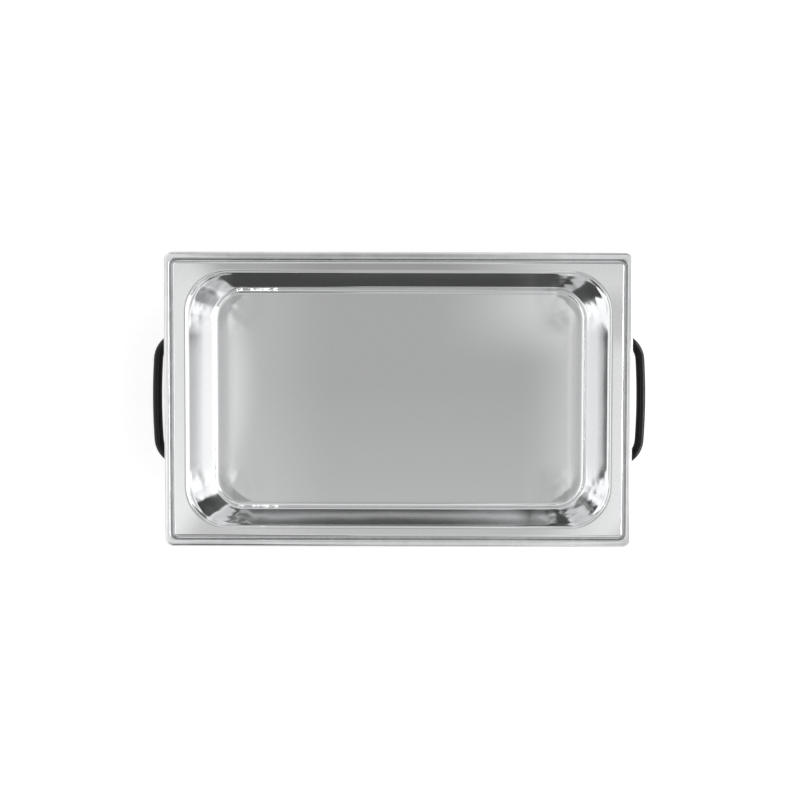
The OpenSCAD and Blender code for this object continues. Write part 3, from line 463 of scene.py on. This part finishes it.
def tub_rings(outline, z, lip_r, floor_r, t, depth, draft, swell=0.0):
    """Upper and lower skin of a drawn tub, each from the flange to the flat floor."""
    lean = math.radians(draft)
    drop = depth - t - lip_r - floor_r + (lip_r + floor_r) * math.sin(lean)
    inset = drop * math.tan(lean) + floor_r * math.cos(lean) - lip_r * (1 - math.cos(lean))
    low = t - depth + floor_r

    def section(lip, floor, end):
        lip_arc = arc(lip_r, -lip_r, lip, 90, 180 - draft + swell, LIP_STEPS)
        floor_arc = arc(-inset, low, floor, -draft - swell, -90, FLOOR_STEPS)
        wall = swelled(lip_arc[-1], floor_arc[0], draft - swell, draft + swell, WALL_STEPS)
        flange = [(lip_r + SHEET_RUN, lip_arc[0][1])]
        return flange + lip_arc + wall + floor_arc + [(-inset - 2 * SHEET_RUN, end)]

    upper = section(lip_r, floor_r, t - depth)
    lower = section(lip_r - t, floor_r + t, -depth)
    return swept(outline, z, upper), swept(outline, z, lower)


def edge_rings(outline, z, r, t, h):
    """Upper and lower skin of a turned-down edge, each from its free end to the flat sheet."""
    upper = [(-EDGE_BREAK, -h), (0.0, EDGE_BREAK - h)]
    upper += arc(-r, -r, r, 0, 90, LIP_STEPS) + [(-r - SHEET_RUN, 0.0)]
    lower = [(EDGE_BREAK - t, -h), (-t, EDGE_BREAK - h)]
    lower += arc(-r, -r, r - t, 0, 90, LIP_STEPS) + [(-r - SHEET_RUN, -t)]
    return swept(outline, z, upper), swept(outline, z, lower)


def step_rings(outline, z, r, t, h):
    """Upper and lower skin of the step between curb and ledge, each from the curb down."""
    upper = [(r + SHEET_RUN, h)] + arc(r, h - r, r, 90, 180, LIP_STEPS)
    upper += arc(-r, r, r, 0, -90, LIP_STEPS) + [(-r - SHEET_RUN, 0.0)]
    lower = [(r + SHEET_RUN, h - t)] + arc(r, h - r, r - t, 90, 180, LIP_STEPS)
    lower += arc(-r, r, r + t, 0, -90, LIP_STEPS) + [(-r - SHEET_RUN, -t)]
    return swept(outline, z, upper), swept(outline, z, lower)


# Food pan and water pan
tub_up, tub_low = tub_rings(PAN_OPEN, PAN_Z, *PAN_TUB, WALL_SWELL)
edge_up, edge_low = edge_rings(PAN, PAN_Z, *PAN_EDGE)
verts, faces = loft(tub_low[::-1] + edge_low[::-1] + edge_up + tub_up)
piece("pan", verts, faces, "pan_steel", "pan", ["food_pan"])

tub_up, tub_low = tub_rings(WELL, LEDGE_Z, *WELL_TUB)
step_up, step_low = step_rings(RECESS, LEDGE_Z, *STEP)
edge_up, edge_low = edge_rings(RIM, CURB_Z, *SKIRT)
verts, faces = loft(tub_low[::-1] + step_low[::-1] + edge_low[::-1] + edge_up + step_up + tub_up)
piece("water_bath", verts, faces, "rim_steel", "dish", ["water_pan"])


# Handles
def tube(path, radius, sides):
    """Rings of a round bar along points that lie in a level plane."""
    rings = []
    for i, p in enumerate(path):
        a = Vector(path[max(i - 1, 0)])
        b = Vector(path[min(i + 1, len(path) - 1)])
        go = (b - a).normalized()
        if i == 0 or i == len(path) - 1:
            go = Vector((round(go.x), 0.0, 0.0))
        side = go.cross(Vector((0, 0, 1))).normalized()
        points = []
        for k in range(sides):
            c = 2 * math.pi * k / sides
            q = Vector(p) + radius * (math.cos(c) * side + math.sin(c) * Vector((0, 0, 1)))
            points.append(tuple(q))
        rings.append(points)
    return rings


def handle_path():
    """Centre line of the right handle."""
    wall = HOUSING[0] / 2
    half = HANDLE_SPAN / 2
    bow = math.degrees(math.asin((half - BEND_R) / (BOW_R - BEND_R)))
    bend_x = GRIP_X - BOW_R + (BOW_R - BEND_R) * math.cos(math.radians(bow))
    straight_x = bend_x - 2.0
    line = [(wall, -half), (straight_x, -half)]
    line += arc(bend_x, BEND_R - half, BEND_R, -90, -bow, BEND_STEPS)
    line += arc(GRIP_X - BOW_R, 0.0, BOW_R, -bow, bow, BOW_STEPS)[1:-1]
    line += arc(bend_x, half - BEND_R, BEND_R, bow, 90, BEND_STEPS)
    line += [(straight_x, half), (wall, half)]
    return [(x, y, HANDLE_Z) for x, y in line]


for s, end_name in ((1, "right"), (-1, "left")):
    bar = [(s * x, y, z) for x, y, z in handle_path()]
    verts, faces = loft(tube(bar, HANDLE_D / 2, BAR_SIDES))
    piece("handle_bar_" + end_name, verts, faces, "handle_black", "dish", ["handle_" + end_name])


# Small pieces: a place sets local (x, y, height) points on a wall or about an upright axis
def front(x0, turn=0.0):
    """Places points on the front wall, height outward, turned to the left by some degrees."""
    c = math.cos(math.radians(turn))
    s = math.sin(math.radians(turn))
    return lambda x, y, h: (x0 + c * x - s * y, FRONT_Y - h, CONTROL_Z + s * x + c * y)


def end_wall(s, y0):
    """Places points on an end wall at a leg of a handle, height outward."""
    return lambda x, y, h: (s * (HOUSING[0] / 2 + h), y0 + x, HANDLE_Z + y)


def under(x0, y0, z0):
    """Places points about an upright axis, height downward."""
    return lambda x, y, h: (x0 + x, y0 - y, z0 - h)


def moved(place, dx, dy):
    """The same place, moved by dx and dy."""
    return lambda x, y, h: place(x + dx, y + dy, h)


def turned(profile, place, sides=48, loop=False):
    """A turned piece from (radius, height) points, where a radius may depend on the angle."""
    angles = [2 * math.pi * k / sides for k in range(sides)]
    rings = []
    for r, h in profile:
        radii = [r(a) if callable(r) else r for a in angles]
        rings.append([place(q * math.cos(a), q * math.sin(a), h) for q, a in zip(radii, angles)])
    start = callable(profile[0][0]) or profile[0][0] > 0
    end = callable(profile[-1][0]) or profile[-1][0] > 0
    return loft(rings, start, end, loop)


def slab(outline, section, place):
    """A rounded bar from (offset, height) points."""
    rings = swept(outline, 0.0, section)
    return loft([[place(*point) for point in points] for points in rings])


def cross_shape(arm, half):
    """Radius of a cross with four arms, by the angle."""
    def radius(a):
        b = abs((a + math.pi / 4) % (math.pi / 2) - math.pi / 4)
        return min(arm / math.cos(b), half / max(math.sin(b), 1e-6))

    return radius


def screw(place, shank, length, head, height, arm):
    """A pan-head screw with a cross recess, its head above height 0."""
    r = 0.6 * height
    profile = [(0, -length), (shank - 0.4, -length), (shank, 0.4 - length), (shank, 0.0)]
    profile += [(head - 0.2, 0.0), (head, 0.2)] + arc(head - r, height - r, r, 0, 90, 6)
    profile.append((cross_shape(arm, 0.24 * arm), height))
    profile.append((cross_shape(0.75 * arm, 0.2 * arm), 0.45 * height))
    profile.append((0, 0.4 * height))
    return turned(profile, place)


def softened(name, node, slot, body, width, sharp=35.0):
    """A copy of a CAD piece with small bevels along edges that turn by more than sharp degrees."""
    bm = bmesh.new()
    bm.from_mesh(nodes[node].data)
    bmesh.ops.remove_doubles(bm, verts=bm.verts, dist=1e-6)
    bmesh.ops.dissolve_limit(bm, angle_limit=math.radians(1), verts=bm.verts, edges=bm.edges)
    edges = [e for e in bm.edges if e.is_manifold and e.calc_face_angle() > math.radians(sharp)]
    bmesh.ops.bevel(bm, geom=edges, offset=width * MM, offset_type="OFFSET", segments=3,
                    profile=0.5, affect="EDGES", clamp_overlap=True)
    verts = [tuple(c / MM for c in v.co) for v in bm.verts]
    bm.verts.index_update()
    faces = [tuple(v.index for v in f.verts) for f in bm.faces]
    bm.free()
    piece(name, verts, faces, slot, body, [node])


collar = [(5.45, 0.0), (9.5, 0.0), (10.0, 0.5)] + arc(8.4, 2.4, 1.6, 0, 90, 8)
collar += [(5.9, 4.0), (5.45, 3.55)]
legs = [end_wall(s, t * HANDLE_SPAN / 2) for s, t in CORNERS]
verts, faces = joined([turned(collar, place, 48, True) for place in legs])
piece("leg_collars", verts, faces, "collar_black", "dish", ["handle_collars"])

foot = [(2.8, -BASE_Z), (2.8, -FOOT_SCREW_Z), (5.5, -FOOT_SCREW_Z), (5.5, -0.6), (6.1, 0.0)]
foot += [(8.2, 0.0), (8.5, -0.7), (9.3, -0.7), (9.6, 0.0)] + arc(11.6, -1.5, 1.5, 90, 0, 6)
foot += [(14.05, -6.5), (13.85, -7.1), (14.0, -7.7), (14.5, -8.2), (15.7, -15.2), (15.4, -BASE_Z)]
for s, end_name in ((-1, "left"), (1, "right")):
    for t, row in ((-1, "front"), (1, "rear")):
        verts, faces = turned(foot, under(s * FOOT[0], t * FOOT[1], 0.0), 48, True)
        piece("rubber_foot_" + row + "_" + end_name, verts, faces, "foot_rubber", "dish",
              ["foot_" + row + "_" + end_name])

spots = [(s * FOOT[0], t * FOOT[1]) for s, t in CORNERS]
verts, faces = joined([screw(under(x, y, FOOT_SCREW_Z), *FOOT_BOLT) for x, y in spots])
piece("foot_fixings", verts, faces, "fastener_steel", "dish", ["foot_screws"])

far_x, far_y = (side / 2 - BASE_SCREW[2] for side in HOUSING)
spots = [(s * i * BASE_SCREW[0], t * far_y) for s in (-1, 1) for i in (1, 1 / 3) for t in (-1, 1)]
spots += [(s * far_x, t * BASE_SCREW[1]) for s, t in CORNERS]
verts, faces = joined([screw(under(x, y, BASE_Z), *BASE_BOLT) for x, y in spots])
piece("base_fixings", verts, faces, "fastener_steel", "dish", ["base_screws"])

# Controls on the front, cable entry at the back, and the housing
place = front(KNOB_X, KNOB_REST)
skirt = [(3.1, 3.0), (21.2, 3.0), (21.8, 3.35), (22.0, 4.0), (22.0, 4.9), (21.7, 5.7)]
skirt += [(20.5, 7.3), (19.9, 7.8), (19.2, 8.0), (16.0, 8.25), (3.1, 8.4)]
grip = [(1.6, 8.2), (0.7, 8.5), (0.2, 9.3), (0.0, 10.5), (-0.35, 23.2), (-0.5, 24.0), (-0.95, 24.55)]
grip += [(-1.6, 24.8), (-2.2, 24.85)]
verts, faces = joined([turned(skirt, place, 96, True), slab((11.0, 36.0, 4.5), grip, place)])
piece("control_knob", verts, faces, "knob_black", "knob", ["thermostat_knob"])
line = [(0.0, 24.5), (0.0, 24.92), (-0.12, 25.0)]
verts, faces = slab((1.4, 9.0, 0.6), line, moved(place, 0.0, 11.0))
piece("knob_pointer", verts, faces, "print_white", "knob")


def digit(text, size, place):
    """A printed number, standing a little above its wall."""
    half_print = 0.06
    curve = bpy.data.curves.new("number", "FONT")
    curve.body = text
    curve.size = size
    curve.align_x = "CENTER"
    curve.align_y = "CENTER"
    curve.extrude = half_print
    curve.resolution_u = 6
    holder = bpy.data.objects.new("number", curve)
    mesh = bpy.data.meshes.new_from_object(holder)
    verts = [place(v.co.x, v.co.y, v.co.z + half_print) for v in mesh.vertices]
    faces = [tuple(p.vertices) for p in mesh.polygons]
    bpy.data.objects.remove(holder)
    bpy.data.curves.remove(curve)
    bpy.data.meshes.remove(mesh)
    return verts, faces


marks = []
raised = [(0.0, 0.0), (0.0, 0.09), (-0.04, 0.12)]
for k in range(11):
    angle = DIAL_STEP * k - KNOB_REST
    numbered = k % 2 == 0
    size = (0.9, 2.6, 0.3) if numbered else (0.6, 1.7, 0.2)
    marks.append(slab(size, raised, moved(front(KNOB_X, -angle), 0.0, MARK_R + size[1] / 2)))
    if numbered:
        x = NUMBER_R * math.sin(math.radians(angle))
        y = NUMBER_R * math.cos(math.radians(angle))
        marks.append(digit(str(k // 2), NUMBER_SIZE, moved(front(KNOB_X), x, y)))
verts, faces = joined(marks)
piece("dial_print", verts, faces, "print_dark", "dish")

softened("switch_case", "switch_body", "switch_black", "dish", 0.45)
softened("rocker_cap", "switch_rocker", "rocker_red", "rocker", 0.5, 15.0)


def rocker_face(half):
    """Places points on one half of the rocker, y away from its middle line, height off its face."""
    a = math.radians(ROCKER[0])
    set_on = front(SWITCH_X)

    def place(x, y, h):
        p = half * (y * math.cos(a) - h * math.sin(a))
        q = ROCKER[1] + y * math.sin(a) + h * math.cos(a)
        up = p * math.cos(a) - q * math.sin(a)
        out = p * math.sin(a) + q * math.cos(a) - ROCKER[2]
        return set_on(x, up, out)

    return place


raised = [(0.0, -0.05), (0.0, 0.06), (-0.05, 0.1)]
bar_mark = slab((1.1, 4.6, 0.5), raised, moved(rocker_face(1), 0.0, ROCKER_MARK_Y))
hoop = [(1.65, -0.05), (2.55, -0.05), (2.55, 0.06), (2.5, 0.1), (1.7, 0.1), (1.65, 0.06)]
ring_mark = turned(hoop, moved(rocker_face(-1), 0.0, ROCKER_MARK_Y), 40, True)
verts, faces = joined([bar_mark, ring_mark])
piece("rocker_marks", verts, faces, "print_white", "rocker")

softened("lamp_case", "pilot_lamp_body", "switch_black", "dish", 0.3)


def ribbed(r):
    """Radius with shallow upright ribs, by the angle."""
    return lambda a: r * (1.0 - 0.035 * (0.5 + 0.5 * math.cos(18 * a)))


dome = arc(0.0, -0.5, 6.3, 18.6, 84, 12)
lens = [(0, -5.0), (3.2, -5.0), (3.6, -4.6), (3.6, 1.5), (5.7, 1.5)]
lens += [(ribbed(r) if r < 5.6 else r, h) for r, h in dome] + [(0, 5.8)]
verts, faces = turned(lens, front(LAMP_X), 144)
piece("lamp_lens", verts, faces, "lamp_amber", "dish", ["pilot_lamp_lens"])

softened("gland_nut", "cable_gland", "gland_black", "dish", 0.4)
softened("gland_dome", "gland_cap", "gland_black", "dish", 0.4)
softened("shell", "housing", "housing_steel", "dish", 0.4, 60.0)

# Camera straight above, at the distance that the photo's perspective gives
cam_data = bpy.data.cameras.new("camera")
cam_data.sensor_width = 36.0
cam_data.lens = 22.83
cam_data.clip_start = 0.01
cam = bpy.data.objects.new("camera", cam_data)
cam.location = (0.0190, 0.0190, 0.7547)
cam.rotation_euler = (math.radians(-1.0), 0.0, math.radians(0.13))
cam_data.shift_x = -0.0182
cam_data.shift_y = -0.0091
bpy.context.scene.collection.objects.link(cam)
bpy.context.scene.camera = cam


# Light and floor
def studio_world():
    """Soft studio surroundings: pale overhead, bright to both ends, darker to front and back."""
    world = bpy.data.worlds.new("studio")
    bpy.context.scene.world = world
    world.use_nodes = True
    tree = world.node_tree
    tree.nodes.clear()
    out = tree.nodes.new("ShaderNodeOutputWorld")
    back = tree.nodes.new("ShaderNodeBackground")
    tree.links.new(back.outputs["Background"], out.inputs["Surface"])
    place = tree.nodes.new("ShaderNodeTexCoord")
    split = tree.nodes.new("ShaderNodeSeparateXYZ")
    tree.links.new(place.outputs["Generated"], split.inputs["Vector"])

    dark_level = 0.09
    pale_level = 0.8

    def calc(kind, a, b=0.0):
        return maths(tree, kind, a, b)

    def distance(a, b):
        return calc("SQRT", calc("ADD", calc("MULTIPLY", a, a), calc("MULTIPLY", b, b)))

    # Slopes of the direction from straight up: u to the right, v to the back
    rise = calc("MAXIMUM", split.outputs["Z"], 0.03)
    u = calc("DIVIDE", split.outputs["X"], rise)
    v = calc("DIVIDE", split.outputs["Y"], rise)
    away = calc("ABSOLUTE", v)
    side = calc("ABSOLUTE", u)
    to_left = calc("MULTIPLY", u, -1.0)

    def step(value, low, high, height):
        return spread(tree, value, low, high, 0.0, height, True)

    def band(value, low, high, soft, height):
        rise_part = step(value, low - soft, low + soft, 1.0)
        fall_part = spread(tree, value, high - soft, high + soft, height, 0.0, True)
        return calc("MULTIPLY", rise_part, fall_part)

    # Middle levels, then dark panels to front and back and one lower to the front
    narrow = calc("DIVIDE", side, calc("MAXIMUM", away, 0.05))
    middle = spread(tree, narrow, 0.75, 1.0, 1.0, 0.0, True)
    centre = spread(tree, side, 0.25, 0.40, 1.0, 0.0, True)
    level = calc("ADD", spread(tree, v, -0.3, 0.0, 0.62, 0.51), step(v, 0.17, 0.24, -0.10))
    lift = spread(tree, v, -0.29, -0.24, 0.03, 0.0, True)
    level = calc("ADD", level, calc("MULTIPLY", lift, centre))
    level = calc("ADD", level, step(v, 0.26, 0.36, 0.25))
    level = calc("ADD", level, step(away, 0.62, 0.80, 0.3))
    level = calc("ADD", level, calc("MULTIPLY", band(v, -0.44, -0.325, 0.015, 0.4), centre))
    dark = calc("ADD", band(v, -0.615, -0.452, 0.012, 1.0), band(v, 0.525, 0.715, 0.012, 1.0))
    dark = calc("ADD", dark, band(v, -60.0, -1.1, 0.1, 1.0))
    level = spread(tree, calc("MULTIPLY", dark, middle), 0.0, 1.0, level, dark_level)
    # Bright panels to both ends, and a light strip in the dark panel at the back
    bow = calc("MULTIPLY", calc("MINIMUM", calc("MULTIPLY", v, v), 0.2), 1.3)
    wide = step(v, 0.03, 0.15, 1.0)
    ramp = spread(tree, wide, 0.0, 1.0, step(u, 0.20, 0.44, 0.47), step(u, 0.02, 0.36, 0.40))
    parts = [
        calc("MULTIPLY", band(v, 0.590, 0.612, 0.008, 0.7), middle),
        step(to_left, 0.15, 0.33, 0.10),
        step(calc("SUBTRACT", to_left, bow), 0.30, 0.38, 0.38),
        band(to_left, 0.60, 0.708, 0.010, -0.9),
        step(to_left, 0.698, 0.722, 0.65),
        ramp,
        calc("MULTIPLY", band(v, 0.08, 0.18, 0.03, -0.20), step(u, 0.28, 0.36, 1.0)),
        band(u, 0.64, 0.785, 0.03, -0.2),
        step(u, 0.785, 0.845, 0.8),
    ]
    for part in parts:
        level = calc("ADD", level, part)
    # Darker round fields that the drawn corners of the pan mirror: u, v, radius, share of light kept
    fields = [(0.55, 0.71, 0.33, 0.10), (-0.46, -0.67, 0.32, 0.12), (0.60, -0.50, 0.28, 0.55)]
    fields += [(-0.56, 0.52, 0.10, 0.2), (0.745, 0.15, 0.06, 0.4), (-0.70, 0.16, 0.07, 0.3)]
    for u0, v0, r, keep in fields:
        reach = distance(calc("SUBTRACT", u, u0), calc("SUBTRACT", v, v0))
        level = calc("MULTIPLY", level, spread(tree, reach, r - 0.03, r + 0.03, keep, 1.0, True))
    # Even and pale towards the horizon, which a dark panel to the front keeps further off
    ahead = spread(tree, side, 0.45, 0.65, 1.0, 0.0, True)
    hold = calc("MULTIPLY", spread(tree, v, -1.0, -0.8, 0.5, 0.0, True), ahead)
    reach = calc("SUBTRACT", distance(u, v), hold)
    level = spread(tree, reach, 1.0, 1.6, calc("MAXIMUM", level, dark_level), pale_level, True)
    put(back.inputs["Strength"], level, tree)
    back.inputs["Color"].default_value = (1.0, 1.0, 1.0, 1.0)


studio_world()

lamp_data = bpy.data.lights.new("side_light", "AREA")
lamp_data.shape = "RECTANGLE"
lamp_data.size = 0.1
lamp_data.size_y = 1.4
lamp_data.energy = 8.0
lamp = bpy.data.objects.new("side_light", lamp_data)
lamp.location = (1.38, 0.0, 0.85)
lamp.rotation_euler = (0.0, math.radians(56), 0.0)
bpy.context.scene.collection.objects.link(lamp)

mat, tree, bsdf = shader("floor_paper")
fibre = noise(tree, 300.0, 3.0)
paper = blend_colour(tree, fibre, (0.88, 0.88, 0.88, 1), (0.92, 0.92, 0.92, 1))
put(bsdf.inputs["Base Color"], paper, tree)
put(bsdf.inputs["Roughness"], spread(tree, fibre, 0.3, 0.7, 0.6, 0.8), tree)
bsdf.inputs["Emission Color"].default_value = (1.0, 1.0, 1.0, 1.0)
bsdf.inputs["Emission Strength"].default_value = 0.36
bm = bmesh.new()
bmesh.ops.create_grid(bm, x_segments=8, y_segments=8, size=40.0)
bmesh.ops.translate(bm, verts=bm.verts, vec=(0, 0, -0.0003))
floor_mesh = bpy.data.meshes.new("floor")
bm.to_mesh(floor_mesh)
bm.free()
floor_mesh.materials.append(mat)
floor = bpy.data.objects.new("floor", floor_mesh)
bpy.context.scene.collection.objects.link(floor)

view = bpy.context.scene.view_settings
view.view_transform = "Standard"
view.look = "None"
view.exposure = 0.0
view.gamma = 1.0
